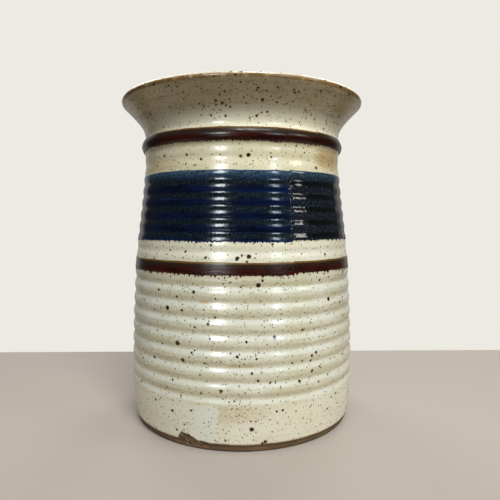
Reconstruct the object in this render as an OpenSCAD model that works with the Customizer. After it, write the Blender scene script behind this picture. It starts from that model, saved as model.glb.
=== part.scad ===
// Wheel-thrown stoneware vase: a tall, slightly swelling body with throwing rings,
// a raised bead under the neck and a flared mouth.
//
// The clay wall carries a cream glaze coat outside and a liner glaze inside, which
// meet on the crown of the lip. Three brushed colour bands lie on the cream coat.
// All layers follow the same outlines, so each one shares its faces with the next.
// Origin: centre of the resting face. +Z is up, -Y is the front. Millimetres.

/* [Overall size] */
// Height from the resting face to the crown of the lip
height = 204; // [160:1:260]
// Diameter over the lip
rim_d = 156; // [140:1:200]
// Diameter over the glaze at the widest part of the belly
belly_d = 146; // [120:1:180]
// Diameter over the glaze at the lower edge of the lower iron band
chest_d = 141.2; // [116:0.2:172]
// Diameter over the glaze at the waist, at the upper edge of the cobalt band
waist_d = 128.2; // [106:0.2:156]
// Diameter over the glaze at the neck, where the flare starts
neck_d = 126.8; // [104:0.2:150]
// Diameter over the glaze at its lower edge
glaze_foot_d = 142.2; // [116:0.2:172]

/* [Heights] */
// Height of the widest part of the belly
belly_z = 36; // [24:1:50]
// Drop from the crown of the lip to the neck
neck_drop = 23.5; // [18:0.5:29]

/* [Walls] */
// Thickness of the clay wall
wall_t = 5.2; // [3:0.1:9]
// Height of the clay floor above the resting face
floor_t = 8; // [5:0.1:12]
// Radius of the curve between the floor and the wall
floor_curve_r = 14; // [6:0.5:20]
// Radius of the half-round lip over the glaze
lip_r = 2; // [1.4:0.1:3.2]
// Lean of the flare at the lip, from the vertical
flare_angle = 46; // [30:1:60]

/* [Foot] */
// Diameter of the bare clay foot
base_d = 139; // [112:0.5:150]
// Radius of the foot's lower edge
foot_edge_r = 1.2; // [0.5:0.1:2.5]
// Width of the resting ring
foot_ring_w = 12; // [6:0.5:24]
// Depth of the turned recess inside the resting ring
foot_recess = 2.5; // [1:0.1:3.5]

/* [Bead] */
// Height of the bead below the neck, from edge to edge
bead_w = 12.4; // [8:0.1:15]
// How far the bead stands out from the wall
bead_h = 2.1; // [0.5:0.1:3.5]

/* [Throwing rings] */
// Spacing of the rings on the lower body
ring_pitch = 8.7; // [6:0.1:12]
// Depth of the hollows between the rings on the lower body
ring_depth = 0.8; // [0.2:0.1:1.5]
// How narrow the hollows are beside the crests; 1 gives even waves
ring_sharpness = 1.6; // [1:0.1:3]
// Least height of the smooth skirt below the rings
skirt_h = 26; // [12:1:40]
// Distance from the lower iron band to the first ring
ring_margin = 1.2; // [0.5:0.1:4]
// Spacing of the rings under the cobalt band
cobalt_ring_pitch = 7.35; // [5:0.05:12]
// Depth of the hollows under the cobalt band
cobalt_ring_depth = 0.6; // [0.2:0.1:1.2]
// Depth of the single hollow in each cream stripe between two bands
stripe_hollow_depth = 0.4; // [0.1:0.1:1]
// Distance from that hollow to the stripe's edges
stripe_margin = 1.2; // [0.5:0.1:3]

/* [Glaze] */
// Thickness of the cream coat and of the liner
glaze_t = 0.6; // [0.3:0.1:1.1]
// Height of the cream coat's lower edge
glaze_foot_z = 4.2; // [3:0.1:12]

/* [Colour bands, from the neck down] */
// Thickness of the colour bands on the cream coat
band_t = 0.3; // [0.2:0.05:0.6]
// Distance from the neck to the upper iron band on the bead
upper_band_margin = 1.8; // [0.5:0.1:5]
// Height of the upper iron band
upper_band_w = 8.1; // [4:0.1:10]
// Distance from the bead to the cobalt band
upper_stripe_w = 12.6; // [7:0.1:18]
// Height of the cobalt band
cobalt_band_w = 40.2; // [20:0.1:50]
// Distance from the cobalt band to the lower iron band
lower_stripe_w = 10.3; // [5:0.1:18]
// Height of the lower iron band
lower_band_w = 8; // [4:0.1:14]

/* [Bare patch] */
// Width of the round patch at the foot that the coat doesn't cover
patch_d = 13; // [8:0.5:24]
// Height of the patch's centre
patch_z = 1.8; // [0:0.1:6]
// Direction of the patch, turned from the front
patch_turn = -26; // [-180:1:180]

/* [Hidden] */
$fn = 120;

// Stations along the outline
steps_per_ring = 8;
flare_steps = 12;
arc_steps = 8;
bead_steps = 10;
plain_steps = 6;
min_step = 0.4;

// Heights worked out from the driving sizes
neck_z = height - neck_drop;
bead_bottom = neck_z - bead_w;
upper_iron = span_below(neck_z - upper_band_margin, upper_band_w);
cobalt = span_below(bead_bottom - upper_stripe_w, cobalt_band_w);
lower_iron = span_below(cobalt[0] - lower_stripe_w, lower_band_w);
waist_z = cobalt[1];
chest_z = lower_iron[0];

// Knots of the body curve, as [height, radius over the glaze]
knots = [[glaze_foot_z, glaze_foot_d / 2], [belly_z, belly_d / 2],
         [chest_z, chest_d / 2], [waist_z, waist_d / 2], [neck_z, neck_d / 2]];
knot_slopes = [2 * (knots[1][1] - knots[0][1]) / (knots[1][0] - knots[0][0]),
               chord_slope(0, 2), chord_slope(1, 3), chord_slope(2, 4), 0];

// Ring zones, as [top, pitch, count, depth]
ring_top = chest_z - ring_margin;
ring_count = floor((ring_top - skirt_h) / ring_pitch);
cobalt_ring_count = floor(cobalt_band_w / cobalt_ring_pitch);
zones = [
    [ring_top, ring_pitch, ring_count, ring_depth],
    [(cobalt[0] + cobalt[1] + cobalt_ring_count * cobalt_ring_pitch) / 2,
     cobalt_ring_pitch, cobalt_ring_count, cobalt_ring_depth],
    [bead_bottom - stripe_margin,
     upper_stripe_w - 2 * stripe_margin, 1, stripe_hollow_depth],
    [cobalt[0] - stripe_margin,
     lower_stripe_w - 2 * stripe_margin, 1, stripe_hollow_depth]];

lip_centre = [rim_d / 2 - lip_r, height - lip_r];
clay_lip_r = lip_r - glaze_t;
floor_curve_z = floor_t + floor_curve_r;

// ---- Curves ----

function span_below(top, w) = [top - w, top];

function chord_slope(i, j) = (knots[j][1] - knots[i][1]) / (knots[j][0] - knots[i][0]);

// Cubic from a to b for t from 0 to 1, with end slopes times the span
function cubic(t, a, b, slope_a, slope_b) =
    a * (2 * pow(t, 3) - 3 * pow(t, 2) + 1) + slope_a * (pow(t, 3) - 2 * pow(t, 2) + t)
    + b * (3 * pow(t, 2) - 2 * pow(t, 3)) + slope_b * (pow(t, 3) - pow(t, 2));

// Radius over the glaze without rings or bead
function body_curve(z, i = 0) =
    z > knots[i + 1][0] && i < len(knots) - 2 ? body_curve(z, i + 1)
    : let (span = knots[i + 1][0] - knots[i][0])
      cubic((z - knots[i][0]) / span, knots[i][1], knots[i + 1][1],
            knot_slopes[i] * span, knot_slopes[i + 1] * span);

// Depth of a zone's hollows below the crests at a height
function hollow(zone, z) =
    let (down = zone[0] - z, wave = (1 - cos(360 * down / zone[1])) / 2)
    down > 0 && down < zone[1] * zone[2] ? zone[3] * pow(wave, ring_sharpness) : 0;

// How far the bead stands out at a height
function bead(z) =
    z > bead_bottom && z < neck_z
    ? bead_h * (1 - cos(360 * (z - bead_bottom) / bead_w)) / 2 : 0;

// Radius over the cream coat
function skin(z) =
    body_curve(z) + bead(z)
    - hollow(zones[0], z) - hollow(zones[1], z) - hollow(zones[2], z) - hollow(zones[3], z);

function reversed(v) = [for (i = [len(v) - 1:-1:0]) v[i]];

function even(a, b, n) = [for (i = [0:n]) a + (b - a) * i / n];

// Ascending order; of values closer than min_step only one is kept
function ascending(v) =
    len(v) == 0 ? []
    : concat(ascending([for (x = v) if (x < v[0] - min_step) x]), [v[0]],
             ascending([for (x = v) if (x > v[0] + min_step) x]));

function arc(centre, r, from, to) =
    [for (a = even(from, to, arc_steps)) centre + r * [cos(a), sin(a)]];

// ---- Stations: band edges are always kept, the others keep clear of them ----

edges = concat([glaze_foot_z, neck_z], upper_iron, cobalt, lower_iron);
fill = concat(
    [for (zone = zones)
        each even(zone[0], zone[0] - zone[1] * zone[2], zone[2] * steps_per_ring)],
    even(glaze_foot_z, ring_top - ring_count * ring_pitch, plain_steps),
    even(bead_bottom, neck_z, bead_steps));
stations = ascending(concat(
    edges,
    [for (z = fill)
        if (z > glaze_foot_z && z < neck_z && min([for (e = edges) abs(z - e)]) > min_step) z]));

// ---- Outlines, as [radius, height] ----

// Flare from the neck to the point where it joins a lip of radius r; side is 1
// for the outer surface and -1 for the inner one
function flare(neck_r, r, side) =
    let (end = lip_centre + side * r * [cos(flare_angle), -sin(flare_angle)],
         span = end[1] - neck_z)
    [for (i = [1:flare_steps - 1])
        let (t = i / flare_steps)
        [cubic(t, neck_r, end[0], 0, span * tan(flare_angle)), neck_z + t * span]];

// Outer surface at a depth below the glaze, from the glaze's edge to the lip's crown
function outside(depth) = concat(
    [for (z = stations) [skin(z) - depth, z]],
    flare(neck_d / 2 - depth, lip_r - depth, 1),
    arc(lip_centre, lip_r - depth, -flare_angle, 90));

// Inner surface of the clay wall, below the neck
function inner_wall(z) = body_curve(z) - glaze_t - wall_t;

inner_stations = ascending(concat(
    even(floor_curve_z, chest_z, plain_steps), even(chest_z, neck_z, 2 * plain_steps)));

// Inner surface with a lining of some thickness, from the lip's crown to the axis
function inside(lining) = concat(
    arc(lip_centre, clay_lip_r + lining, 90, 180 - flare_angle),
    reversed(flare(neck_d / 2 - glaze_t - wall_t - lining, clay_lip_r + lining, -1)),
    [for (z = reversed(inner_stations)) if (z > floor_curve_z) [inner_wall(z) - lining, z]],
    arc([inner_wall(floor_curve_z) - floor_curve_r, floor_curve_z],
        floor_curve_r - lining, 0, -90),
    [[0, floor_t + lining]]);

// Underside and foot, from the axis to the edge of the glaze
foot = concat(
    [[0, foot_recess], [base_d / 2 - foot_ring_w - foot_recess, foot_recess],
     [base_d / 2 - foot_ring_w, 0]],
    arc([base_d / 2 - foot_edge_r, foot_edge_r], foot_edge_r, -90, 0));

function band_outer(z, span) =
    skin(z) + (z == span[0] || z == span[1] ? band_t / 2 : band_t);

// ---- Sub-parts ----

// Thrown wall, floor and foot, in one piece of fired clay
module clay_body()
    color("#6f4f33")
    rotate_extrude()
    polygon(concat(foot, outside(glaze_t), inside(0)));

// Cream coat from its edge above the foot to the crown of the lip
module cream_glaze()
    color("#cfc8ac")
    difference() {
        rotate_extrude()
            polygon(concat(outside(0), reversed(outside(glaze_t))));
        rotate([0, 0, patch_turn])
            translate([0, 0, patch_z])
            rotate([90, 0, 0])
            cylinder(d = patch_d, h = belly_d);
    }

// Glaze of the inside, from the crown of the lip to the floor
module liner_glaze()
    color("#d6d0b8")
    rotate_extrude()
    polygon(concat(inside(0), reversed(inside(glaze_t))));

// Colour band lying on the cream coat over a span of heights
module band(span) {
    heights = [for (z = stations) if (z >= span[0] && z <= span[1]) z];
    rotate_extrude()
        polygon(concat([for (z = heights) [band_outer(z, span), z]],
                       [for (z = reversed(heights)) [skin(z), z]]));
}

module upper_iron_band() color("#35160a") band(upper_iron);

module cobalt_band() color("#14264c") band(cobalt);

module lower_iron_band() color("#35160a") band(lower_iron);

clay_body();
cream_glaze();
liner_glaze();
upper_iron_band();
cobalt_band();
lower_iron_band();
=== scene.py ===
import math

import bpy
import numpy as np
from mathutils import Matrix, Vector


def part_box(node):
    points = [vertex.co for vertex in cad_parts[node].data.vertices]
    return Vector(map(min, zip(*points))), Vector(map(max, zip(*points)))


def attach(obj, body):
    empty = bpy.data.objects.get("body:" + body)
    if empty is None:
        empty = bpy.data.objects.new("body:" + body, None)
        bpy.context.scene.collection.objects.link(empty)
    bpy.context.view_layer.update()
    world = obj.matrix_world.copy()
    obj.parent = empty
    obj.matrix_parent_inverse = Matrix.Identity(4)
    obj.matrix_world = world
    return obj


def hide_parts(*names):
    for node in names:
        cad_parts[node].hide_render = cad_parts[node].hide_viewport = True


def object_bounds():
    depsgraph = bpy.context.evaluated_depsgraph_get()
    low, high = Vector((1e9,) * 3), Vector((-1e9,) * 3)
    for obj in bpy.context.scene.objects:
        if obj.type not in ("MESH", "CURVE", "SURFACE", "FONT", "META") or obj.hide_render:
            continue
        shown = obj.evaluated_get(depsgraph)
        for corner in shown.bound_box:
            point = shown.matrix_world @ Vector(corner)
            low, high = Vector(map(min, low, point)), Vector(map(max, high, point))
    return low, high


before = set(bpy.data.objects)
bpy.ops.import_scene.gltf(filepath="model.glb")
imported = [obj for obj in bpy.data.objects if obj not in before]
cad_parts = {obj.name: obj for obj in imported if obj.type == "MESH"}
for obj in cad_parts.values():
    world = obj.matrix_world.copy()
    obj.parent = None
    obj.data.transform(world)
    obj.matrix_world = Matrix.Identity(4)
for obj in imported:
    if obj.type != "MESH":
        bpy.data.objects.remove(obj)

# A wheel-thrown stoneware vase: a speckled cream coat with two iron bands and a
# cobalt band brushed over it, a lined inside and a bare clay foot.
#
# Each piece is a closed skin laid round the outline that the frame's layers have.
# Lengths here are millimetres, and MM turns them into Blender's metres. A turn is
# an angle in degrees seen from above, from the front (-Y) towards +X.

cad_low, cad_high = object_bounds()

MM = 0.001
HEIGHT = cad_high.z / MM
RIM_R = cad_high.x / MM

# Reading the frame: section corners nearer than SAME_CORNER are one corner, a glaze
# corner nearer than SHARED_CORNER to the clay is the clay's too, and a corner that
# has FULL_CIRCLE points or more runs all the way round
SAME_CORNER = 0.05
SHARED_CORNER = 0.2
FULL_CIRCLE = 60

# Hand-thrown irregularity: how far the wall waves outwards and upwards, and the
# level foot and calmer lip
SEED = 11
WAVE_OUT = 0.16
WAVE_UP = 0.38
LEVEL_FOOT = 14.0
LIP_ZONE = 22.0
LIP_CALM = 0.6
LOBES = np.array([1, 2, 3, 4, 5])
LOBE_SHARE = np.array([1.0, 0.9, 0.5, 0.3, 0.2])
OUT_TWIST = 1.2
UP_TWIST = 1.6

# Mesh spacing: rows in millimetres, columns round the whole wall or the bare patch
ROW_STEP = 0.85
LINER_STEP = 1.6
COLUMNS = 226
FINE_COLUMNS = 30
CLAY_COLUMNS = 216
SHARP_ANGLE = 50

# Glaze layers. Each reaches BEDDING into what it lies on
GLAZE_T = 0.6
BAND_T = 0.3
BEDDING = 0.15

# The coat's rounded lower edge: its height, and its rows as shares of that height
# and of the coat's thickness. Rows up to EDGE_REACH shift with the edge
EDGE_ROUND = 0.9
EDGE_ROWS = np.array([0.0, 0.02, 0.13, 0.3, 0.55])
EDGE_SINK = np.array([1.0, 0.55, 0.3, 0.12, 0.03])
EDGE_REACH = 14.0

# A band's rounded edges: distances from the edge, and the share of its thickness there
BAND_INSET = np.array([0.0, 0.03, 0.15, 0.4, 0.8])
BAND_RAISED = np.array([-0.05, 0.35, 0.6, 0.85, 1.0])

# Bare patch at the foot, where the coat tore away: the turns where the tear starts,
# is highest, falls off and ends, the end of its low tail, its height, and the tail's
# share of that
PATCH_FROM = -31.2
PATCH_LEFT = -29.2
PATCH_RIGHT = -26.6
PATCH_TO = -19.0
PATCH_TAIL = -12.0
PATCH_RISE = 4.4
TAIL_SHARE = 0.16

# Clay foot: round of its lower edge, width of the slope down from its recess, the
# strip's rows as first height, last height and step, the heights where it stands
# straight and where it has gone over into the wall, and where the coat hides it
FOOT_ROUND = 1.2
RECESS_SLOPE = 2.8
STRIP_ROWS = (1.7, 13.0, 0.35)
STRIP_STRAIGHT = 2.4
STRIP_WALL = 4.4
HIDDEN_FROM = 14.0

# Torn clay in the bare patch: how many waves cross, their share of the ridges' height,
# how far they lie back, the heights where they start, are full, fade and end, and
# millimetres to a degree at the foot
TORN_WAVES = 7
TORN_DEPTH = 0.16
TORN_BACK = 0.22
TORN_HEIGHTS = (1.0, 2.2, 9.5, 12.5)
FOOT_DEGREE = 1.24

# Turned rings: depth and pitch on the inside's wall, on its floor and on the underside
LINER_RING = (0.12, 7.9)
FLOOR_RING = (0.15, 9.5)
UNDER_RING = (0.18, 5.5)
# Radius where a floor's rings of points give way to its middle point
POLE_GAP = 4.0

# Brush: a band's top stands TOP_INSET below its layer's, and its lower edge TOOTH_INSET
# of a tooth above. In degrees, the second pass's shift sets in within JOIN_SOFT of the
# join and sinks back from SECOND_LEVEL on, and its thicker glaze starts within LINE_SOFT
# of the join and stops within SECOND_END of the end
TOP_INSET = 0.35
TOOTH_INSET = 0.35
JOIN_SOFT = 0.8
LINE_SOFT = 0.5
SECOND_LEVEL = 30
SECOND_END = 3

# Table: reach to each side, before and behind the axis, and thickness
TABLE_SIDE = 420.0
TABLE_FRONT = 200.0
TABLE_BACK = 1.73 * RIM_R
TABLE_T = 24.0

# Camera: place before the axis, height, how far it looks down and aside, and lens
CAMERA_Y = -324.4
CAMERA_Z = 126.9
CAMERA_PITCH = 3.45
CAMERA_YAW = 0.93
LENS = 34.27
SENSOR = 36


# ---- Outlines, read from the frame ----

def section(node):
    """Corners of a node's section as (height, radius), for those that run all the way round."""
    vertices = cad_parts[node].data.vertices
    points = np.array([v.co for v in vertices]) / MM
    pairs = np.column_stack([points[:, 2], np.hypot(points[:, 0], points[:, 1])])
    corners, times = np.unique(pairs.round(2), axis=0, return_counts=True)
    corners = corners[times >= FULL_CIRCLE]
    steps = np.hypot(*np.diff(corners, axis=0).T)
    return corners[np.concatenate([[True], steps > SAME_CORNER])]


def exposed(node):
    """Corners of a glaze layer's section that aren't the clay's too, from the lowest up."""
    mine = section(node)
    clay = section("clay_body")
    gaps = mine[:, None, :] - clay[None, :, :]
    nearest = np.hypot(gaps[..., 0], gaps[..., 1]).min(axis=1)
    return mine[nearest > SHARED_CORNER]


class Outline:
    """A smooth line through a section's corners, measured along its own length."""

    def __init__(self, corners, side):
        """side is 1 where the shown face looks outwards and -1 where it looks at the axis."""
        steps = np.hypot(*np.diff(corners, axis=0).T)
        self.corners = corners
        self.side = side
        self.marks = np.concatenate([[0.0], np.cumsum(steps)])
        self.slopes = np.gradient(corners, self.marks, axis=0)
        self.length = self.marks[-1]

    def at(self, along):
        """Height and radius at distances along the line."""
        along = np.clip(along, 0.0, self.length)
        i = np.clip(np.searchsorted(self.marks, along) - 1, 0, len(self.marks) - 2)
        span = self.marks[i + 1] - self.marks[i]
        t = (along - self.marks[i]) / span
        start = (2 * t**3 - 3 * t**2 + 1)[..., None] * self.corners[i]
        end = (3 * t**2 - 2 * t**3)[..., None] * self.corners[i + 1]
        leave = ((t**3 - 2 * t**2 + t) * span)[..., None] * self.slopes[i]
        arrive = ((t**3 - t**2) * span)[..., None] * self.slopes[i + 1]
        point = start + end + leave + arrive
        return point[..., 0], point[..., 1]

    def normal(self, along):
        """Direction away from the wall, as height and radius."""
        reach = 0.3
        along = np.clip(along, 0.0, self.length)
        ahead = self.at(along + reach)
        behind = self.at(along - reach)
        up, out = ahead[0] - behind[0], ahead[1] - behind[1]
        size = np.hypot(up, out)
        return -self.side * out / size, self.side * up / size

    def where(self, height):
        """Distance along the line at a height."""
        return np.interp(height, self.corners[:, 0], self.marks)


def band_span(node):
    """Heights of a band's lower and upper edge."""
    low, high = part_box(node)
    return low.z / MM, high.z / MM


skin = Outline(exposed("cream_glaze"), 1)
lining = Outline(exposed("liner_glaze"), -1)

# Above the bead's crest the wall has no rings
BEAD_CREST = band_span("upper_iron_band")[1] - 3.0


# ---- Small sums ----

def smoothstep(low, high, value):
    t = np.clip((value - low) / (high - low), 0.0, 1.0)
    return t * t * (3 - 2 * t)


def plateau(value, start, full, fade, end):
    """1 from full to fade, and 0 before start and after end."""
    return smoothstep(start, full, value) * (1 - smoothstep(fade, end, value))


def turn_from(turn, start):
    """Turn measured from another turn, from -180 to 180."""
    return (turn - start + 180) % 360 - 180


def ripple(value, pitch):
    """A wave of one crest to each pitch."""
    return np.sin(2 * np.pi * value / pitch)


def column(values):
    """Values that change from ring to ring, ready to combine with the turns."""
    return np.asarray(values, float)[:, None]


# ---- Hand-thrown shape ----

random_source = np.random.default_rng(SEED)
out_phase = random_source.uniform(0, 360, LOBES.size)
up_phase = random_source.uniform(0, 360, LOBES.size)
out_twist = random_source.uniform(-OUT_TWIST, OUT_TWIST, LOBES.size)
up_twist = random_source.uniform(-UP_TWIST, UP_TWIST, LOBES.size)
ragged_phase = random_source.uniform(0, 360, 12)


def lobes(height, turn, phase, twist):
    """A slow wave round the wall, from -1 to 1, that drifts with the height."""
    total = 0
    for lobe, share, start, drift in zip(LOBES, LOBE_SHARE, phase, twist):
        total = total + share * np.cos(np.radians(lobe * turn + start + drift * height))
    return total / LOBE_SHARE.sum()


def ragged(turn, slowest):
    """A small uneven line round the wall, about -1 to 1, with waves that get finer."""
    total = 0
    for i, phase in enumerate(ragged_phase):
        total = total + 0.8**i * np.cos(np.radians((slowest + 4 * i) * turn + phase))
    return total / 2


def place(height, radius, turn):
    """Points of the hand-thrown wall in metres, for its true height, radius and turn."""
    near_lip = smoothstep(HEIGHT - LIP_ZONE, HEIGHT, height)
    off_foot = smoothstep(0.0, LEVEL_FOOT, height)
    out = WAVE_OUT * (lobes(height, turn, out_phase, out_twist) - near_lip)
    up = lobes(height, turn, up_phase, up_twist) - near_lip
    up = WAVE_UP * up * off_foot * (1 - LIP_CALM * near_lip)
    angle = np.radians(turn)
    r = radius + out
    x, y, z = np.broadcast_arrays(r * np.sin(angle), -r * np.cos(angle), height + up)
    return np.stack([x, y, z], axis=-1) * MM


def on_outline(outline, along, turn, lift=0.0):
    """Points at a distance along an outline, lifted off it."""
    height, radius = outline.at(along)
    up, out = outline.normal(along)
    return place(height + lift * up, radius + lift * out, turn)


def relief_of(along):
    """Depth of the coat's rings, below 0 in the hollows, and their lean, above 0 where a
    face looks down. Rings are what differs from the mean of the wall nearby."""
    step = 0.25
    reach = 4.0
    fine = np.arange(0, skin.length, step)
    height, radius = skin.at(fine)
    offsets = np.arange(-3 * reach, 3 * reach + step, step)
    weights = np.exp(-((offsets / reach) ** 2) / 2)
    padded = np.pad(radius, offsets.size // 2, mode="edge")
    mean = np.convolve(padded, weights / weights.sum(), mode="valid")[: fine.size]
    relief = radius - mean
    relief[height > BEAD_CREST] = 0
    lean = np.gradient(relief, step)
    return np.interp(along, fine, relief), np.interp(along, fine, lean)


# ---- Meshes ----

def even_turns(count):
    return np.arange(count) * 360 / count - 180


def patch_turns(count, extra):
    """Even turns with extra ones over the bare patch."""
    fine = np.linspace(PATCH_FROM - 2, PATCH_TAIL + 2, extra)
    coarse = even_turns(count)
    outside = (coarse < fine[0] - 1) | (coarse > fine[-1] + 1)
    return np.sort(np.concatenate([coarse[outside], fine]))


def closed_mesh(name, rings, marks, start=None, end=None):
    """A closed piece from rings of points that follow its section, outside upwards.
    With start and end, which are points on the axis, the section runs from one to the
    other. Without them its last ring joins the first. marks are numbers on the rings."""
    count, columns = rings.shape[:2]
    ring = np.arange(columns)
    beside = np.roll(ring, -1)
    last = count if start is None else count - 1
    faces = []
    for i in range(last):
        low, high = i * columns, (i + 1) % count * columns
        quads = np.stack([low + ring, low + beside, high + beside, high + ring], axis=1)
        faces += quads.tolist()
    points = rings.reshape(-1, 3).tolist()
    if start is not None:
        points += [start, end]
        first_pole, last_pole = len(points) - 2, len(points) - 1
        top = (count - 1) * columns
        faces += np.stack([np.full(columns, first_pole), beside, ring], axis=1).tolist()
        faces += np.stack([top + ring, top + beside, np.full(columns, last_pole)], axis=1).tolist()
    mesh = bpy.data.meshes.new(name)
    mesh.from_pydata(points, [], faces)
    mesh.shade_smooth()
    mesh.set_sharp_from_angle(angle=math.radians(SHARP_ANGLE))
    for key, values in marks.items():
        layer = mesh.attributes.new(key, "FLOAT", "POINT")
        flat = np.zeros(len(points), np.float32)
        flat[: count * columns] = np.broadcast_to(values, (count, columns)).ravel()
        layer.data.foreach_set("value", flat)
    return add_object(name, mesh)


def add_object(name, data):
    made = bpy.data.objects.new(name, data)
    bpy.context.scene.collection.objects.link(made)
    return made


def finish_piece(piece, node, material):
    piece.data.materials.append(material)
    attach(piece, "root")
    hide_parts(node)


# ---- Cream coat ----

# Warmer places in the coat: turn and height of the middle, reach each way, and strength
STAINS = [
    (58, 164, 17, 6.5, 1.4), (-50, 159, 20, 4.0, 0.8), (0, 48.6, 8, 1.3, 1.0),
    (-17, 83, 3.5, 1.2, 1.0), (8, 57.5, 5, 2.6, 0.55), (25, 64, 12, 2.0, 0.4),
    (-40, 192, 20, 5, 0.4), (64, 62, 24, 36, 0.5), (150, 60, 20, 9, 0.5),
    (-120, 160, 14, 6, 0.6),
]
# The dipped coat laps at this turn near the foot: warm to its right, pale to its left,
# each over a span of turns and heights, and with a strength
LAP_TURN = -11
LAP_SOFT = 0.6
SKIRT_FADE = (0, 34)
SKIRT_HEIGHTS = (7, 22, 25, 28)
SKIRT_WARM = 0.75
PALE_START = (-34, -14)
PALE_TOP = (24, 28)
PALE_COOL = 0.5


def warmth(height, turn):
    """How warm the coat is, above 0 in the stains and below 0 in the pale place by the lap."""
    total = 0
    for at_turn, at_height, reach_turn, reach_up, strength in STAINS:
        sideways = (turn_from(turn, at_turn) / reach_turn) ** 4
        upwards = ((height - at_height) / reach_up) ** 4
        total = np.maximum(total, strength * np.exp(-sideways - upwards))
    lap = LAP_TURN + 0.8 * np.sin(height * 0.9)
    lap_edge = (lap - LAP_SOFT, lap + LAP_SOFT)
    skirt = plateau(turn, *lap_edge, *SKIRT_FADE) * plateau(height, *SKIRT_HEIGHTS)
    pale = plateau(turn, *PALE_START, *lap_edge) * (1 - smoothstep(*PALE_TOP, height))
    return np.maximum(total, SKIRT_WARM * skirt) - PALE_COOL * pale


def coat_edge(turn):
    """How far the coat's lower edge stands above its lowest line: the torn patch with its
    notches and tail, and a ragged line all round."""
    torn = plateau(turn, PATCH_FROM, PATCH_LEFT, PATCH_RIGHT, PATCH_TO)
    tail = TAIL_SHARE * plateau(turn, PATCH_RIGHT, PATCH_TO, PATCH_TO, PATCH_TAIL)
    notches = 0.1 * np.cos(np.radians(turn * 190)) + 0.08 * np.cos(np.radians(turn * 117 + 60))
    patch = PATCH_RISE * (torn * (1 + notches) + tail)
    return np.maximum(patch + 0.22 * ragged(turn, 5) + 0.1 * ragged(turn, 61), 0.0)


def make_coat():
    turn = patch_turns(COLUMNS, FINE_COLUMNS)
    edge = coat_edge(turn)
    body = np.arange(EDGE_ROUND, skin.length, ROW_STEP)
    body = np.append(body[:-1], skin.length)
    front = np.concatenate([EDGE_ROUND * EDGE_ROWS, body])
    front_sink = np.concatenate([GLAZE_T * EDGE_SINK, np.zeros(body.size)])
    back = front[::-2]
    back_sink = np.full(back.size, GLAZE_T + BEDDING)
    along = column(np.concatenate([front, back]))
    sunk = column(np.concatenate([front_sink, back_sink]))
    along = along + edge * (1 - smoothstep(0, EDGE_REACH, along))
    rings = on_outline(skin, along, turn, -sunk)
    relief, lean = relief_of(along)
    marks = {
        "relief": relief,
        "lean": lean,
        "above_edge": along - edge * (1 - smoothstep(0, EDGE_REACH, along)),
        "below_lip": skin.length - along,
        "warm": warmth(skin.at(along)[0], turn),
    }
    piece = closed_mesh("cream_coat", rings, marks)
    finish_piece(piece, "cream_glaze", cream_material())


# ---- Liner ----

def make_liner():
    """The inside's glaze, from the floor's middle up to the lip and back behind itself."""
    turn = even_turns(COLUMNS)
    floor_z, floor_r = lining.corners[0]
    buried = GLAZE_T + BEDDING
    up = np.append(np.arange(0, lining.length - LINER_STEP / 2, LINER_STEP), lining.length)
    across = np.arange(POLE_GAP, floor_r - 1, 3)
    wall_z = lining.at(up)[0]
    ring_depth, ring_pitch = LINER_RING
    turned = ring_depth * ripple(wall_z, ring_pitch) * plateau(wall_z, 12, 30, 160, 180)
    wave_depth, wave_pitch = FLOOR_RING
    shown_z = floor_z + wave_depth * ripple(across, wave_pitch)
    hidden_z = np.full(across.size, floor_z - buried)
    rings = np.concatenate([
        place(column(hidden_z), column(across), turn),
        on_outline(lining, column(up), turn, -buried),
        on_outline(lining, column(up), turn, column(turned))[::-1],
        place(column(shown_z), column(across), turn)[::-1],
    ])
    far = np.full(across.size, 999.0)
    down = lining.length - up
    below_lip = np.concatenate([far, down, down[::-1], far])
    poles = [[0, 0, (floor_z - buried) * MM], [0, 0, floor_z * MM]]
    piece = closed_mesh("liner", rings, {"below_lip": column(below_lip)}, *poles)
    finish_piece(piece, "liner_glaze", liner_material())


# ---- Colour bands ----

def drips(turn, spacing, seed):
    """Short teeth that the brush left, from 0 to 1."""
    source = np.random.default_rng(seed)
    count = round(360 / spacing)
    centres = np.arange(count) * spacing - 180 + source.uniform(-0.4, 0.4, count) * spacing
    widths = source.uniform(0.2, 0.45, count) * spacing
    heights = source.uniform(0.0, 1.0, count) ** 1.3
    total = np.zeros(turn.size)
    for centre, width, height in zip(centres, widths, heights):
        away = turn_from(turn, centre)
        total = np.maximum(total, height * np.exp(-((away / width) ** 2) * 2))
    return total


def band_rows(bottom, top, height, row_step):
    """Distances along the coat of a band's rows, from its lower edge to its upper one, and
    the share of the band's thickness that each row has."""
    inner = BAND_INSET[-1]
    steps = max(2, round((height - 2 * inner) / row_step))
    middle = np.linspace(0, 1, steps + 1)[1:-1]
    along = np.concatenate([
        bottom + column(BAND_INSET),
        bottom + inner + column(middle) * (top - bottom - 2 * inner),
        top - column(BAND_INSET[::-1]),
    ])
    raised = np.concatenate([BAND_RAISED, np.ones(middle.size), BAND_RAISED[::-1]])
    return along, column(raised)


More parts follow.
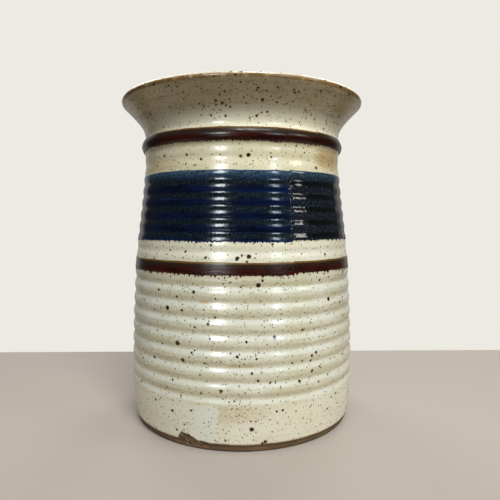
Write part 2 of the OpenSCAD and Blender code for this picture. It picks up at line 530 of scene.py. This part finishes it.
def make_band(node, name, material, seed, join=24.0, overlap=108.0, step_up=0.9,
              tooth=1.6, tooth_spacing=1.6, extra=0.0, columns=2200, row_step=0.85):
    """A brushed band over a span of the coat. The brush's second pass starts at the turn
    join and lies over the first for the turn overlap. It stands step_up higher and is
    extra thicker. tooth and tooth_spacing are the size of the lower edge's teeth."""
    turn = even_turns(columns)
    low, high = band_span(node)
    end = join + overlap
    shift = step_up * plateau(turn, join - JOIN_SOFT, join + JOIN_SOFT, join + SECOND_LEVEL, end)
    teeth = tooth * (drips(turn, tooth_spacing, seed) - TOOTH_INSET)
    bottom = skin.where(low) + shift - teeth + 0.12 * ragged(turn, 9)
    top = skin.where(high) - TOP_INSET + 0.5 * shift + 0.1 * ragged(turn + 40, 7)
    along, raised = band_rows(bottom, top, high - low, row_step)
    wander = 0.8 * np.sin(along * 0.85) + 0.5 * np.sin(along * 2.2 + 1)
    second = plateau(turn + wander, join - LINE_SOFT, join + LINE_SOFT, end - SECOND_END,
                     end + SECOND_END)
    lift = raised * (BAND_T + extra * second)
    back = along[::-3]
    rings = np.concatenate([
        on_outline(skin, along, turn, lift),
        on_outline(skin, back, turn, -BEDDING),
    ])
    both = np.concatenate([along, back])
    relief, lean = relief_of(both)
    marks = {
        "relief": relief,
        "lean": lean,
        "above_edge": both - bottom,
        "below_edge": top - both,
        "second": np.concatenate([second, second[::-3]]),
    }
    piece = closed_mesh(name, rings, marks)
    finish_piece(piece, node, material)


# ---- Clay body ----

def underside(recess_z, ring_in, foot_end):
    """Heights and radii from near the axis out to the foot's lower edge: a turned recess,
    the slope down from it, and the ring that the vase stands on."""
    slope_in = ring_in - RECESS_SLOPE
    across = np.linspace(POLE_GAP + 1, slope_in - 0.4, 16)
    ring_depth, ring_pitch = UNDER_RING
    turned = ring_depth * ripple(across, ring_pitch)
    slope = np.linspace(slope_in + 0.2, ring_in - 0.2, 4)
    slope_z = recess_z * (1 - smoothstep(slope_in, ring_in, slope))
    resting = np.linspace(ring_in + 0.5, foot_end - 0.3, 5)
    height = np.concatenate([recess_z + turned, slope_z, np.zeros(resting.size)])
    return height, np.concatenate([across, slope, resting])


def foot_strip(foot_end):
    """Heights and radii of the foot's rounded lower edge and of the wall up under the coat."""
    bend = np.radians(np.linspace(-80, 0, 6))
    round_z = FOOT_ROUND * (1 + np.sin(bend))
    round_r = foot_end + FOOT_ROUND * np.cos(bend)
    rise_z = np.arange(*STRIP_ROWS)
    under_coat = skin.at(skin.where(rise_z))[1] - GLAZE_T
    blend = smoothstep(STRIP_STRAIGHT, STRIP_WALL, rise_z)
    rise_r = round_r[-1] * (1 - blend) + under_coat * blend
    return np.concatenate([round_z, rise_z]), np.concatenate([round_r, rise_r])


def torn_clay(height, turn):
    """Ridges and cracks of the torn clay in the bare patch, as millimetres outwards."""
    source = np.random.default_rng(SEED + 1)
    total = 0
    for _ in range(TORN_WAVES):
        tilt = source.uniform(0.4, 1.1)
        pitch = source.uniform(1.4, 3.6)
        phase = source.uniform(0, 2 * np.pi)
        across = height + tilt * turn * FOOT_DEGREE
        bent = phase + 0.9 * np.sin(turn * 0.9 + phase)
        total = total + np.sin(2 * np.pi * across / pitch + bent)
    ridges = TORN_DEPTH * total - TORN_BACK
    in_patch = plateau(turn, PATCH_FROM - 1, PATCH_FROM + 1, PATCH_TO, PATCH_TAIL)
    return ridges * plateau(height, *TORN_HEIGHTS) * in_patch


def hidden_clay(turn):
    """Rings of the clay under the coat and the liner, up the wall, over the lip and down to
    the floor's middle."""
    up_wall = np.arange(skin.where(HIDDEN_FROM), skin.length, 1.5)
    up_wall = np.append(up_wall, skin.length)
    down_wall = np.arange(lining.length - 1, 0, -3.0)
    floor_z, floor_r = lining.corners[0]
    floor = np.arange(floor_r - 2, POLE_GAP, -6.0)
    return np.concatenate([
        on_outline(skin, column(up_wall), turn, -GLAZE_T),
        on_outline(lining, column(down_wall), turn, -GLAZE_T),
        place(column(np.full(floor.size, floor_z - GLAZE_T)), column(floor), turn),
    ])


def make_clay():
    turn = patch_turns(CLAY_COLUMNS, 2 * FINE_COLUMNS)
    corners = section("clay_body")
    resting = corners[corners[:, 0] < 0.05]
    ring_in, foot_end = resting[:, 1].min(), resting[:, 1].max()
    recess_z = corners[(corners[:, 0] > 1) & (corners[:, 1] < ring_in)][0, 0]
    floor_z = lining.corners[0, 0]
    under_z, under_r = underside(recess_z, ring_in, foot_end)
    strip_z, strip_r = foot_strip(foot_end)
    torn = torn_clay(column(strip_z), turn)
    below = place(column(under_z), column(under_r), turn)
    strip = place(column(strip_z), column(strip_r) + torn, turn)
    rings = np.concatenate([below, strip, hidden_clay(turn)])
    torn_mark = np.zeros(rings.shape[:2])
    torn_mark[len(below): len(below) + len(strip)] = torn
    marks = {"height": rings[..., 2] / MM, "torn": torn_mark}
    poles = [[0, 0, recess_z * MM], [0, 0, (floor_z - GLAZE_T) * MM]]
    piece = closed_mesh("clay", rings, marks, *poles)
    finish_piece(piece, "clay_body", clay_material())


# ---- Materials ----

def rgb(red, green, blue):
    """A colour given as on a screen, from 0 to 255, as the shader takes it."""
    linear = []
    for value in (red, green, blue):
        v = value / 255
        linear.append(v / 12.92 if v <= 0.04045 else ((v + 0.055) / 1.055) ** 2.4)
    return (*linear, 1.0)


CREAM_LIGHT = rgb(222, 223, 206)
CREAM = rgb(210, 209, 183)
CREAM_DEEP = rgb(190, 180, 144)
CREAM_THIN_AND_SHADED = rgb(210, 198, 160)
CREAM_THICK_AND_LIT = rgb(220, 225, 220)
CREAM_GRAIN = rgb(176, 157, 120)
FRECKLE = rgb(160, 136, 96)
HOLLOW_SHADE = rgb(136, 134, 122)
POOL_PALE_AND_LIT = rgb(240, 236, 208)
FLARE_YELLOW = rgb(202, 182, 130)
FLARE_LINE = rgb(170, 150, 104)
FLARE_DUST = rgb(140, 104, 58)
NECK_WARM_AND_LIT = rgb(232, 222, 176)
BELT_PALE = rgb(236, 234, 214)
LAP_PALE = rgb(220, 226, 218)
STAIN_TAN = rgb(184, 158, 104)
LIP_TAN = rgb(216, 207, 180)
LIP_LINE = rgb(124, 90, 44)
LINER_LIP = rgb(214, 199, 164)
EDGE_BROWN = rgb(150, 122, 84)
SPECK = rgb(42, 12, 0)
SPECK_EDGE = rgb(98, 52, 16)
PEPPER = rgb(98, 62, 28)

IRON_DARK = rgb(36, 8, 3)
IRON_RED = rgb(56, 16, 7)
IRON_PAINTED_SHEEN = rgb(44, 34, 28)
IRON_GOLD = rgb(112, 82, 28)
IRON_THIN = rgb(96, 58, 20)

COBALT_DARK = rgb(2, 8, 32)
COBALT_BLUE = rgb(4, 20, 56)
COBALT_STROKE = rgb(20, 48, 96)
COBALT_OLIVE = rgb(11, 21, 25)
COBALT_GREEN_DOT = rgb(58, 74, 64)
COBALT_BLACK_DOT = rgb(4, 6, 8)
COBALT_EDGE = rgb(24, 44, 84)
STEEL_DARK = rgb(28, 54, 84)
STEEL_PALE = rgb(84, 110, 126)
CHARCOAL = rgb(14, 20, 33)
CHARCOAL_DOT = rgb(58, 65, 62)
CHARCOAL_BLACK = rgb(2, 3, 4)

CLAY_DARK = rgb(94, 73, 46)
CLAY_LIGHT = rgb(114, 90, 58)
CLAY_GRAIN = rgb(76, 56, 36)
CLAY_CONTACT_SHADE = rgb(66, 48, 30)
CLAY_RIDGE_LIGHT = rgb(174, 140, 96)
CLAY_CRACK_SHADE = rgb(30, 17, 8)

TABLE_GREY = rgb(172, 164, 156)
WALL_WHITE = rgb(237, 234, 227)
FAINT_LIGHT = (1.0, 0.985, 0.96, 1)

# Heights on the coat where a zone starts, is full, fades and ends
NECK_POOL_AND_LIGHT = (176.0, 180.0, 184.0, 190.0)
WARM_AND_LIT_STRIPE = (150.0, 156.0, 172.0, 176.0)
PALE_BELT = (102.0, 106.0, 114.0, 118.0)
# Heights where a zone that goes on to the lip or the foot starts and is full
FLARE = (185.0, 192.0)
PALE_FOOT = (29.0, 23.0)
SPECKLED_FLARE = (176.0, 190.0)

# The biggest specks, listed one by one: turn, height and radius
BIG_SPECKS = [
    (-38, 201, 0.7), (-9, 190, 0.8), (9, 191.5, 0.8), (7, 184, 0.7), (35, 198, 0.7),
    (45, 202, 0.8), (3, 163, 1.0), (-21, 161, 0.7), (42, 158, 0.8), (3, 108, 1.1),
    (7, 92.5, 1.2), (-22, 88, 0.8), (-36, 78, 1.1), (45, 82, 1.0), (-30, 59, 1.3),
    (-27, 50, 1.1), (-45, 48, 0.8), (-9, 35, 0.8), (-33, 20, 0.7), (4, 13.5, 1.1),
    (26, 38, 0.8), (14, 64, 0.8), (35, 53, 0.8), (-15, 71, 0.7),
]


class Shade:
    """A material's node tree, built up from small steps. Values are sockets or numbers."""

    def __init__(self, name):
        self.material = bpy.data.materials.new(name)
        self.material.use_nodes = True
        self.tree = self.material.node_tree
        self.tree.nodes.clear()
        self.surface = self.add("BsdfPrincipled")
        output = self.add("OutputMaterial")
        self.tree.links.new(self.surface.outputs[0], output.inputs["Surface"])
        place_node = self.add("TexCoord")
        self.point = self.vector("SCALE", {0: place_node.outputs["Object"], "Scale": 1 / MM})

    def add(self, kind, inputs=None, **settings):
        made = self.tree.nodes.new("ShaderNode" + kind)
        for key, value in settings.items():
            setattr(made, key, value)
        for key, value in (inputs or {}).items():
            self.put(made.inputs[key], value)
        return made

    def put(self, socket, value):
        if isinstance(value, bpy.types.NodeSocket):
            self.tree.links.new(value, socket)
        else:
            socket.default_value = value

    def vector(self, operation, inputs):
        return self.add("VectorMath", inputs, operation=operation).outputs[0]

    def math(self, operation, a, b):
        return self.add("Math", {0: a, 1: b}, operation=operation).outputs[0]

    def plus(self, a, b):
        return self.math("ADD", a, b)

    def times(self, a, b):
        return self.math("MULTIPLY", a, b)

    def most(self, a, b):
        return self.math("MAXIMUM", a, b)

    def centred(self, noise, amount):
        """A noise moved to vary round 0, by an amount."""
        return self.times(self.math("SUBTRACT", noise, 0.5), amount)

    def rise(self, value, low, high):
        """0 below low, 1 above high and smooth between; falls where high is under low."""
        ramp = self.add("MapRange", {0: value, 1: low, 2: high, 3: 0.0, 4: 1.0},
                        interpolation_type="SMOOTHSTEP")
        return ramp.outputs[0]

    def zone(self, value, start, full, fade, end):
        """1 from full to fade, and 0 before start and after end."""
        return self.times(self.rise(value, start, full), self.rise(value, end, fade))

    def scaled(self, value, start, stop, low, high):
        """low where the value is at start, high where it is at stop, and even between."""
        return self.add("MapRange", {0: value, 1: start, 2: stop, 3: low, 4: high}).outputs[0]

    def mix(self, share, a, b):
        return self.add("Mix", {0: share, 6: a, 7: b}, data_type="RGBA").outputs[2]

    def tint(self, base, mask, strength, colour):
        """The base with a colour laid over it, as strong as the mask times the strength."""
        return self.mix(self.times(mask, strength), base, colour)

    def mark(self, name):
        """A number that the mesh carries at its points."""
        return self.add("Attribute", attribute_name=name).outputs["Fac"]

    def height(self):
        return self.add("SeparateXYZ", {0: self.point}).outputs[2]

    def stretched(self, across, up):
        """The point with its sideways and upward directions scaled."""
        return self.vector("MULTIPLY", {0: self.point, 1: (across, across, up)})

    def noise(self, size, detail=2.0, vector=None, rough=0.5, output="Fac"):
        """Cloudy values round 0.5 with features of a size in millimetres."""
        vector = self.point if vector is None else vector
        inputs = {"Vector": vector, "Scale": 1 / size, "Detail": detail, "Roughness": rough}
        return self.add("TexNoise", inputs).outputs[output]

    def shaken(self, size, amount):
        """The point moved about a little, so that round marks become uneven."""
        cloud = self.noise(size, 1.0, output="Color")
        around = self.vector("SUBTRACT", {0: cloud, 1: (0.5, 0.5, 0.5)})
        moved = self.vector("SCALE", {0: around, "Scale": amount})
        return self.vector("ADD", {0: self.point, 1: moved})

    def specks(self, cell, smallest, largest, share, vector, soft, rim=None):
        """Specks scattered one to a cell, for a share of the cells: 1 inside and 0 outside.
        With rim, also a soft ring of that width round each."""
        cells = self.add("TexVoronoi", {"Vector": vector, "Scale": 1 / cell})
        pick = self.add("SeparateColor", {0: cells.outputs["Color"]})
        chosen = self.math("LESS_THAN", pick.outputs[1], share)
        size = self.times(pick.outputs[0], pick.outputs[0])
        radius = self.scaled(size, 0.0, 1.0, smallest, largest)
        away = self.times(cells.outputs["Distance"], cell)
        inside = self.math("SUBTRACT", radius, away)
        mask = self.times(self.rise(inside, -soft, soft), chosen)
        if rim is None:
            return mask
        return mask, self.times(self.rise(inside, -rim, 0.0), chosen)

    def bump(self, *layers):
        """Small relief from pairs of a height value and its depth in millimetres."""
        normal = None
        for value, depth in layers:
            inputs = {"Height": value, "Strength": 1.0, "Distance": depth * MM}
            if normal is not None:
                inputs["Normal"] = normal
            normal = self.add("Bump", inputs).outputs[0]
        self.put(self.surface.inputs["Normal"], normal)

    def finish(self, **inputs):
        for key, value in inputs.items():
            self.put(self.surface.inputs[key.replace("_", " ")], value)
        return self.material


# ---- Cream glaze: ground, specks and what changes over the wall ----

def cream_ground(shade):
    """Cream with clouds, brushed and turned streaks and freckles, and its fine grain."""
    cloud = shade.noise(22.0, 3.0)
    brushed = shade.noise(9.0, 3.0, shade.stretched(0.35, 1.0))
    grain = shade.noise(1.3, 3.0)
    turning = shade.noise(2.6, 3.0, shade.stretched(0.04, 1.0))
    base = shade.mix(shade.rise(cloud, 0.35, 0.68), CREAM, CREAM_LIGHT)
    base = shade.tint(base, shade.rise(turning, 0.5, 0.7), 0.35, CREAM_DEEP)
    base = shade.tint(base, shade.rise(brushed, 0.5, 0.75), 0.4, CREAM_DEEP)
    base = shade.tint(base, shade.rise(grain, 0.52, 0.75), 0.4, CREAM_DEEP)
    base = shade.tint(base, shade.rise(shade.noise(0.75, 2.0), 0.6, 0.7), 0.55, FRECKLE)
    return base, grain


def placed_specks(shade, outline, vector):
    """Nearness to the listed specks: above 0 inside them, in millimetres."""
    nearness = -99.0
    for turn, height, radius in BIG_SPECKS:
        centre = on_outline(outline, outline.where(height), turn) / MM
        distance = shade.add("VectorMath", {0: vector, 1: tuple(centre)}, operation="DISTANCE")
        inside = shade.math("SUBTRACT", radius, distance.outputs["Value"])
        nearness = shade.most(nearness, inside)
    return nearness


def iron_specks(shade, outline=None, pepper_share=0.85):
    """Masks of the fine pepper, of the specks' rusty rims and of the specks themselves.
    The flare has more of them. The listed ones lie on the outline, if one is given."""
    vector = shade.shaken(1.4, 0.9)
    on_flare = shade.rise(shade.height(), *SPECKLED_FLARE)
    share = shade.scaled(on_flare, 0.0, 1.0, 0.25, 0.7)
    pepper = shade.specks(1.5, 0.16, 0.5, pepper_share, vector, 0.05)
    medium, medium_rims = shade.specks(2.8, 0.3, 0.78, share, vector, 0.05, 0.35)
    large, large_rims = shade.specks(7.0, 0.7, 1.15, 0.07, vector, 0.06, 0.6)
    specks = shade.most(medium, large)
    rims = shade.most(medium_rims, large_rims)
    if outline is not None:
        placed = placed_specks(shade, outline, vector)
        specks = shade.most(specks, shade.rise(placed, -0.06, 0.06))
        rims = shade.most(rims, shade.rise(placed, -0.6, 0.0))
    return pepper, rims, specks


def add_specks(shade, base, pepper, rims, specks):
    base = shade.tint(base, pepper, 0.85, PEPPER)
    base = shade.tint(base, rims, 0.6, SPECK_EDGE)
    return shade.tint(base, specks, 0.98, SPECK)


def add_rings(shade, base, mottle, uneven):
    """The coat is thin and grainy where the rings look down, thick and cool where they look
    up, and grey in a line along each hollow. The tan on the faces that look down is partly
    thinner coat and partly painted shade, the pale cool tint on the faces that look up is
    partly thicker coat and partly painted light, and the grey line is painted shade."""
    lean = shade.mark("lean")
    # Partly painted shade: tan where the rings look down, which is also where the coat is thinner
    under = shade.rise(shade.plus(lean, uneven), -0.08, 0.34)
    base = shade.tint(base, under, 0.3, CREAM_THIN_AND_SHADED)
    grainy = shade.times(shade.rise(mottle, 0.5, 0.66), shade.most(under, 0.35))
    base = shade.tint(base, grainy, 0.4, CREAM_GRAIN)
    # Partly painted light: a pale cool tint where the rings look up, which is also where the coat
    # is thicker
    base = shade.tint(base, shade.rise(lean, -0.02, -0.2), 0.5, CREAM_THICK_AND_LIT)
    # Painted shade: a grey line along each hollow of the rings
    depth = shade.plus(shade.mark("relief"), shade.times(uneven, 0.4))
    return shade.tint(base, shade.rise(depth, -0.42, -0.6), 0.4, HOLLOW_SHADE)


def add_zones(shade, base, mottle):
    """Up the wall: pale at the foot and round the lower iron band, warm under the bead, which
    is partly painted light against the flare's shade, pale where the coat pools in the neck,
    which is partly painted light, and yellow with turned lines and dusting on the flare."""
    height = shade.height()
    flare = shade.rise(height, *FLARE)
    turning = shade.noise(2.2, 3.0, shade.stretched(0.05, 1.0))
    lines = shade.times(shade.rise(turning, 0.45, 0.68), flare)
    dusting = shade.times(shade.rise(mottle, 0.52, 0.7), flare)
    pale = shade.most(shade.zone(height, *PALE_BELT), shade.rise(height, *PALE_FOOT))
    # Partly painted light: the pale band in the neck stands for the pool of light there as well as
    # the pooled coat
    base = shade.tint(base, shade.zone(height, *NECK_POOL_AND_LIGHT), 0.9, POOL_PALE_AND_LIT)
    base = shade.tint(base, flare, 0.65, FLARE_YELLOW)
    base = shade.tint(base, lines, 0.45, FLARE_LINE)
    base = shade.tint(base, dusting, 0.5, FLARE_DUST)
    # Partly painted light: the lighter warm stripe under the bead is the coat's warmer tone and
    # also makes up for the flare's shade
    base = shade.tint(base, shade.zone(height, *WARM_AND_LIT_STRIPE), 0.45, NECK_WARM_AND_LIT)
    return shade.tint(base, pale, 0.5, BELT_PALE)


def add_stains(shade, base, uneven):
    """Tan stains, and the pale place left of the lap near the foot."""
    tone = shade.mark("warm")
    base = shade.tint(base, shade.rise(tone, -0.05, -0.6), 0.6, LAP_PALE)
    warm = shade.plus(tone, shade.times(uneven, 2.4))
    return shade.tint(base, shade.rise(warm, 0.3, 1.2), 0.8, STAIN_TAN)


def add_edges(shade, base, uneven):
    """Light tan over the lip's round, with a broken brown line below it, and a thin brown
    line where the coat ends above the foot."""
    below_lip = shade.mark("below_lip")
    lip = shade.rise(shade.plus(below_lip, shade.times(uneven, 3.0)), 2.7, 1.9)
    base = shade.tint(base, lip, 0.9, LIP_TAN)
    patchy = shade.noise(5.0, 3.0, shade.stretched(1.0, 0.2))
    broken = shade.rise(shade.plus(patchy, uneven), 0.15, 0.5)
    line = shade.times(shade.zone(below_lip, 2.0, 2.7, 3.8, 5.2), broken)
    base = shade.tint(base, line, 0.9, LIP_LINE)
    edge = shade.rise(shade.plus(shade.mark("above_edge"), uneven), 1.3, 0.4)
    return shade.tint(base, edge, 0.8, EDGE_BROWN)


def cream_material():
    shade = Shade("cream coat")
    base, grain = cream_ground(shade)
    mottle = shade.noise(1.1, 4.0, shade.stretched(0.6, 1.0), 0.65)
    uneven = shade.centred(mottle, 0.45)
    base = add_rings(shade, base, mottle, uneven)
    base = add_zones(shade, base, mottle)
    base = add_stains(shade, base, uneven)
    base = add_edges(shade, base, uneven)
    pepper, rims, specks = iron_specks(shade, skin)
    base = add_specks(shade, base, pepper, rims, specks)
    peel = shade.noise(2.4, 2.0)
    shade.bump((peel, 0.06), (grain, 0.02), (specks, -0.05))
    gloss = shade.scaled(mottle, 0.3, 0.7, 0.17, 0.28)
    return shade.finish(Base_Color=base, Roughness=gloss)


def liner_material():
    shade = Shade("liner")
    base, grain = cream_ground(shade)
    base = shade.tint(base, shade.rise(shade.mark("below_lip"), 4.0, 2.0), 0.7, LINER_LIP)
    base = add_specks(shade, base, *iron_specks(shade, pepper_share=0.25))
    peel = shade.noise(2.4, 2.0)
    shade.bump((peel, 0.06), (grain, 0.02))
    return shade.finish(Base_Color=base, Roughness=0.26)


# ---- Iron, cobalt and clay ----

def iron_material():
    """Red-brown with dark streaks, a painted grey sheen on its upper part, and gold where it
    thins.
    """
    shade = Shade("iron")
    above = shade.mark("above_edge")
    below = shade.mark("below_edge")
    streak = shade.noise(3.0, 3.0, shade.stretched(0.25, 1.0))
    fine = shade.noise(0.9, 3.0)
    wander = shade.centred(fine, 1.2)
    # Mask of the painted sheen on the band's upper part
    upper = shade.rise(shade.plus(above, shade.times(wander, 2.0)), 3.2, 5.2)
    thin_top = shade.rise(shade.plus(below, wander), 1.5, 0.6)
    thin_low = shade.rise(shade.plus(above, wander), 0.8, 0.1)
    base = shade.mix(shade.rise(streak, 0.35, 0.65), IRON_DARK, IRON_RED)
    # Painted sheen: grey over the upper part, standing for the reflection of the light above
    base = shade.tint(base, upper, 0.85, IRON_PAINTED_SHEEN)
    base = shade.tint(base, thin_top, 0.85, IRON_GOLD)
    base = shade.tint(base, thin_low, 0.7, IRON_THIN)
    shade.bump((fine, 0.1), (streak, 0.04))
    gloss = shade.scaled(fine, 0.3, 0.7, 0.16, 0.28)
    return shade.finish(Base_Color=base, Roughness=gloss, Specular_IOR_Level=0.36)


def first_pass(shade, dots, upward, thin, wander):
    """Deep blue with brush strokes where the rings look down, and speckled olive black where
    they look up. It is steel blue where it thins at the top, and bluer in its lower teeth."""
    cloud = shade.noise(6.0, 3.0, shade.stretched(0.3, 1.0))
    strokes = shade.noise(0.9, 3.0, shade.stretched(0.03, 1.0))
    pale = shade.times(shade.rise(dots, 0.52, 0.66), shade.most(upward, 0.3))
    dark = shade.times(shade.rise(dots, 0.46, 0.36), upward)
    teeth = shade.rise(shade.plus(shade.mark("above_edge"), wander), 1.2, 0.1)
    steel = steel_blue(shade, dots)
    base = shade.mix(shade.rise(cloud, 0.35, 0.65), COBALT_DARK, COBALT_BLUE)
    base = shade.tint(base, shade.rise(strokes, 0.52, 0.72), 0.5, COBALT_STROKE)
    base = shade.tint(base, upward, 0.8, COBALT_OLIVE)
    base = shade.tint(base, pale, 0.4, COBALT_GREEN_DOT)
    base = shade.tint(base, dark, 0.8, COBALT_BLACK_DOT)
    base = shade.tint(base, thin, 0.8, steel)
    return shade.tint(base, teeth, 0.7, COBALT_EDGE)


def second_pass(shade, dots, upward, thin):
    """Charcoal with olive speckle, and black along the faces that look up."""
    heavy = shade.mix(shade.rise(dots, 0.48, 0.66), CHARCOAL, CHARCOAL_DOT)
    heavy = shade.tint(heavy, upward, 0.95, CHARCOAL_BLACK)
    return shade.tint(heavy, thin, 0.5, steel_blue(shade, dots))


def steel_blue(shade, dots):
    return shade.mix(shade.rise(dots, 0.4, 0.62), STEEL_DARK, STEEL_PALE)


def cobalt_material():
    shade = Shade("cobalt")
    second = shade.mark("second")
    fine = shade.noise(1.0, 4.0, shade.stretched(0.8, 1.0), 0.7)
    dots = shade.noise(0.65, 2.0)
    wander = shade.centred(fine, 0.6)
    upward = shade.rise(shade.plus(shade.mark("lean"), wander), 0.05, -0.12)
    from_top = shade.plus(shade.mark("below_edge"), shade.times(wander, 9.0))
    thin = shade.rise(from_top, 6.5, 0.8)
    base = first_pass(shade, dots, upward, thin, wander)
    base = shade.tint(base, second, 0.85, second_pass(shade, dots, upward, thin))
    peel = shade.noise(2.2, 2.0)
    lumps = shade.times(shade.noise(6.0, 2.0, shade.stretched(1.0, 0.6)), second)
    shade.bump((lumps, 0.5), (peel, 0.05), (fine, 0.008))
    gloss = shade.scaled(fine, 0.3, 0.7, 0.1, 0.2)
    return shade.finish(Base_Color=base, Roughness=gloss, Specular_IOR_Level=0.38)


def clay_material():
    """Gritty brown, with painted shade towards the table, and painted light on the ridges and
    painted shade in the cracks where torn.
    """
    shade = Shade("fired clay")
    grain = shade.noise(0.7, 4.0, rough=0.65)
    cloud = shade.noise(9.0, 3.0)
    torn = shade.mark("torn")
    grit = shade.specks(2.2, 0.12, 0.4, 0.4, shade.shaken(1.0, 0.6), 0.06)
    base = shade.mix(shade.rise(cloud, 0.35, 0.65), CLAY_DARK, CLAY_LIGHT)
    base = shade.tint(base, shade.rise(grain, 0.5, 0.7), 0.5, CLAY_GRAIN)
    # Painted shade: darker towards the table, where the foot meets it
    base = shade.tint(base, shade.rise(shade.mark("height"), 3.0, 0.3), 0.45, CLAY_CONTACT_SHADE)
    # Painted light on the torn ridges and painted shade in the torn cracks
    base = shade.tint(base, shade.rise(torn, -0.02, 0.16), 0.85, CLAY_RIDGE_LIGHT)
    base = shade.tint(base, shade.rise(torn, -0.3, -0.45), 0.9, CLAY_CRACK_SHADE)
    base = shade.tint(base, grit, 0.7, SPECK)
    shade.bump((grain, 0.16), (cloud, 0.1))
    return shade.finish(Base_Color=base, Roughness=0.78)


# ---- Stage, lights and camera ----

def make_stage():
    """A plain pale table top. Its back edge is the line behind the vase."""
    left, right, front, back = -TABLE_SIDE, TABLE_SIDE, -TABLE_FRONT, TABLE_BACK
    outline = ((left, front), (right, front), (right, back), (left, back))
    corners = [(x, y, z) for z in (-TABLE_T, 0.0) for x, y in outline]
    faces = [(3, 2, 1, 0), (4, 5, 6, 7), (0, 1, 5, 4), (1, 2, 6, 5), (2, 3, 7, 6), (3, 0, 4, 7)]
    mesh = bpy.data.meshes.new("table")
    mesh.from_pydata((np.array(corners) * MM).tolist(), [], faces)
    shade = Shade("table")
    matt = shade.finish(Base_Color=TABLE_GREY, Roughness=0.9, Specular_IOR_Level=0.1)
    mesh.materials.append(matt)
    add_object("table", mesh)


# Lights that look at the vase's middle: turn, elevation, distance, width and height in
# metres, power in watts, and colour. The first ones show only in the gloss, as the windows
# and pale walls of a room, and the second ones don't show there
GLOSS_LIGHTS = {
    "window left": (-24, 16.5, 1.7, (0.27, 0.52), 13.0, (0.92, 0.98, 1.0)),
    "window above": (18, 67, 1.7, (0.8, 0.5), 42.0, (1.0, 1.0, 1.0)),
    "window right": (36, 18, 1.7, (0.18, 0.46), 5.0, (0.75, 0.9, 1.0)),
    "window far right": (64, 24, 1.7, (0.3, 0.26), 3.6, (1.0, 0.98, 0.94)),
    "window back": (176, 20, 1.7, (0.26, 0.4), 7.0, (1.0, 1.0, 1.0)),
    "table glow": (-21.5, -14, 1.7, (0.5, 0.3), 1.6, (1.0, 0.97, 0.9)),
    "wall left": (-152, 8, 1.0, (0.7, 1.2), 1.0, (1.0, 0.98, 0.95)),
    "wall right": (152, 8, 1.0, (0.7, 1.2), 1.0, (1.0, 0.97, 0.9)),
}
SOFT_LIGHTS = {
    "front": (13, 46, 1.7, (1.0, 0.5), 31.0, (1.0, 1.0, 0.98)),
    "right": (72, 40, 1.7, (0.6, 0.6), 4.6, (1.0, 0.92, 0.77)),
    "left": (-80, 40, 1.7, (0.6, 0.6), 0.5, (0.96, 0.98, 1.0)),
}
FULL_LIGHTS = {
    "back left": (-153, 42, 1.7, (0.7, 0.7), 8.0, (1.0, 0.99, 0.97)),
    "back right": (153, 42, 1.7, (0.7, 0.7), 8.0, (1.0, 0.99, 0.97)),
    "ceiling": (0, 80, 1.7, (1.2, 1.2), 4.0, (1.0, 0.99, 0.97)),
}


def softbox(name, turn, elevation, distance, size, power, colour, shades=True, glints=True):
    """A rectangular light that looks at the vase's middle. Without shades it only shows in
    the gloss, and without glints it doesn't show there."""
    light = bpy.data.lights.new(name, "AREA")
    light.shape = "RECTANGLE"
    light.size, light.size_y = size
    light.energy = power
    light.color = colour
    angle, lift = math.radians(turn), math.radians(elevation)
    level = math.cos(lift)
    way = Vector((math.sin(angle) * level, -math.cos(angle) * level, math.sin(lift)))
    lamp = add_object(name, light)
    lamp.location = Vector((0, 0, HEIGHT * MM / 2)) + distance * way
    lamp.rotation_euler = (-way).to_track_quat("-Z", "Y").to_euler()
    lamp.visible_camera = False
    lamp.visible_diffuse = shades
    lamp.visible_glossy = glints


def make_world():
    """A plain pale wall for the camera, which lights the vase only faintly."""
    world = bpy.data.worlds.new("room")
    world.use_nodes = True
    tree = world.node_tree
    faint = tree.nodes["Background"]
    faint.inputs["Color"].default_value = FAINT_LIGHT
    faint.inputs["Strength"].default_value = 0.05
    wall = tree.nodes.new("ShaderNodeBackground")
    wall.inputs["Color"].default_value = WALL_WHITE
    path = tree.nodes.new("ShaderNodeLightPath")
    both = tree.nodes.new("ShaderNodeMixShader")
    tree.links.new(path.outputs["Is Camera Ray"], both.inputs[0])
    tree.links.new(faint.outputs[0], both.inputs[1])
    tree.links.new(wall.outputs[0], both.inputs[2])
    tree.links.new(both.outputs[0], tree.nodes["World Output"].inputs["Surface"])
    bpy.context.scene.world = world


def make_lights():
    for name, values in GLOSS_LIGHTS.items():
        softbox(name, *values, shades=False)
    for name, values in SOFT_LIGHTS.items():
        softbox(name, *values, glints=False)
    for name, values in FULL_LIGHTS.items():
        softbox(name, *values)


def make_camera():
    camera = bpy.data.cameras.new("camera")
    camera.lens = LENS
    camera.sensor_width = SENSOR
    camera.clip_start = 0.01
    seat = add_object("camera", camera)
    seat.location = (0, CAMERA_Y * MM, CAMERA_Z * MM)
    seat.rotation_euler = (math.radians(90 - CAMERA_PITCH), 0, math.radians(-CAMERA_YAW))
    bpy.context.scene.camera = seat
    bpy.context.scene.view_settings.view_transform = "Standard"


# ---- Build ----

make_clay()
make_coat()
make_liner()
iron = iron_material()
cobalt = cobalt_material()
make_band("upper_iron_band", "upper_iron", iron, 21, join=42.0, overlap=80.0,
          step_up=0.4, tooth=1.0, tooth_spacing=1.1)
make_band("cobalt_band", "cobalt", cobalt, 22, tooth=1.3, tooth_spacing=1.2,
          extra=0.12, columns=1500, row_step=1.1)
make_band("lower_iron_band", "lower_iron", iron, 23, step_up=1.0)
make_stage()
make_world()
make_lights()
make_camera()
